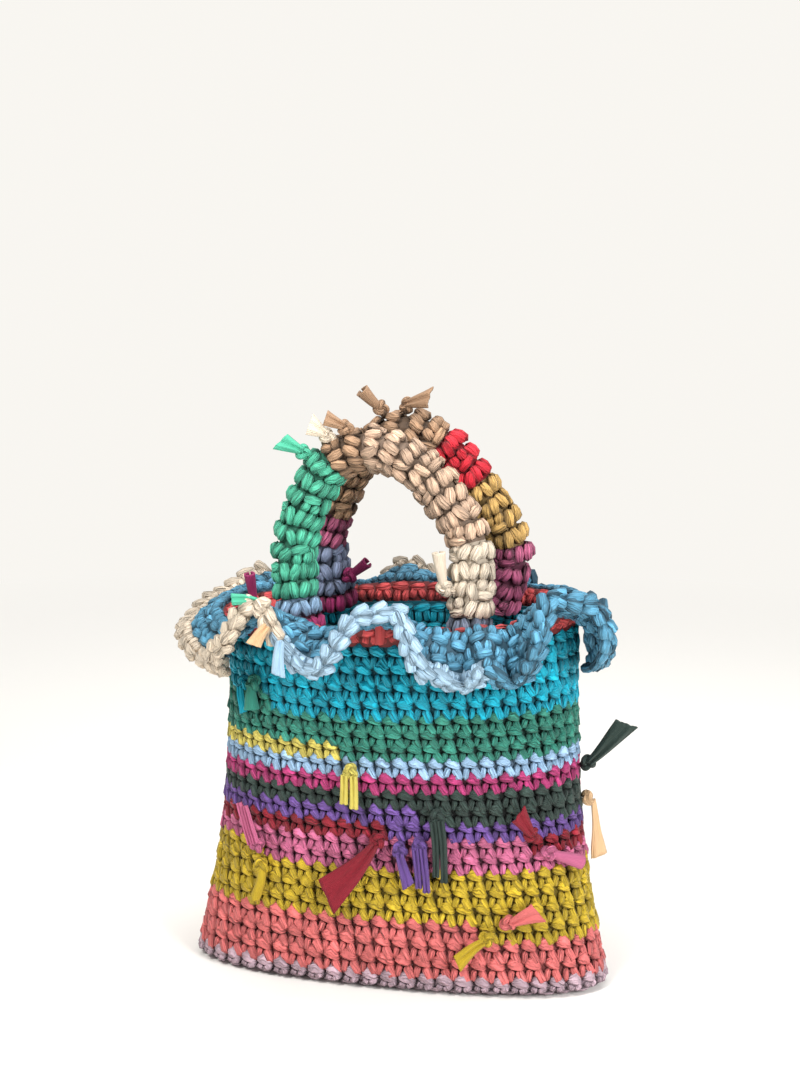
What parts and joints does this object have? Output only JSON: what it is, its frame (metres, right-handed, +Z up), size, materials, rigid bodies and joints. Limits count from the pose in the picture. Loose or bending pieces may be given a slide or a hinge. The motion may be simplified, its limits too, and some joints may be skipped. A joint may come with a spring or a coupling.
{
  "type": "crochet handbag",
  "caption": "Crocheted oval handbag in thick jersey yarn of many colours, with a gathered frill on its rim, two arched tube handles and knotted loose yarn ends.",
  "frame": {"origin": "middle of the oval underside, on the surface that the bag stands on", "axes": "+Z up; the front faces -Y; +X is to the right as seen from the front, along the bag's length"},
  "size_m": [0.3173, 0.2271, 0.3987],
  "materials": {
    "mauve": "matt cotton jersey yarn",
    "coral": "matt cotton jersey yarn",
    "mustard": "matt cotton jersey yarn",
    "orchid": "matt cotton jersey yarn",
    "crimson": "matt cotton jersey yarn",
    "purple": "matt cotton jersey yarn",
    "slate_green": "matt cotton jersey yarn",
    "magenta": "matt cotton jersey yarn",
    "baby_blue": "matt cotton jersey yarn",
    "lime": "matt cotton jersey yarn",
    "jade": "matt cotton jersey yarn",
    "turquoise": "matt cotton jersey yarn",
    "frill_coral": "matt cotton jersey yarn",
    "petrol": "matt cotton jersey yarn",
    "cream": "matt cotton jersey yarn",
    "light_blue": "matt cotton jersey yarn",
    "mint": "matt cotton jersey yarn",
    "beige": "matt cotton jersey yarn",
    "tan": "matt cotton jersey yarn",
    "red": "matt cotton jersey yarn",
    "ochre": "matt cotton jersey yarn",
    "lavender": "matt cotton jersey yarn",
    "grey_blue": "matt cotton jersey yarn",
    "apricot": "matt cotton jersey yarn"
  },
  "bodies": {
    "root": {"base_mauve": "mauve", "band_coral": "coral", "band_mustard": "mustard", "band_orchid": "orchid", "band_crimson": "crimson", "band_purple": "purple", "band_slate_green": "slate_green", "band_magenta": "magenta", "band_baby_blue": "baby_blue", "band_lime": "lime", "band_jade": "jade", "band_turquoise": "turquoise", "frill_coral": "frill_coral", "frill_petrol": "petrol", "frill_edge_cream": "cream", "frill_edge_light_blue": "light_blue", "frill_edge_petrol": "petrol", "front_handle_magenta": "magenta", "front_handle_baby_blue": "baby_blue", "front_handle_mint": "mint", "front_handle_tan": "tan", "front_handle_beige": "beige", "front_handle_cream": "cream", "front_handle_grey_blue": "grey_blue", "back_handle_magenta": "magenta", "back_handle_lavender": "lavender", "back_handle_orchid": "orchid", "back_handle_tan": "tan", "back_handle_red": "red", "back_handle_ochre": "ochre", "back_handle_orchid_2": "orchid", "end_coral": "coral", "end_mustard": "mustard", "end_mustard_leaf": "mustard", "end_orchid_strip": "orchid", "end_crimson_flared": "crimson", "end_purple_left": "purple", "end_purple_right": "purple", "end_slate_green": "slate_green", "end_crimson_tube": "crimson", "end_orchid_tube": "orchid", "end_apricot": "apricot", "end_lime": "lime", "end_jade_tube": "jade", "end_turquoise": "turquoise", "end_slate_flared": "slate_green", "end_mint": "mint", "end_cream_top": "cream", "end_tan_front": "tan", "end_tan_back": "tan", "end_tan_tube": "tan", "end_cream_tube": "cream", "end_magenta_tube": "magenta"}
  },
  "joints": []
}
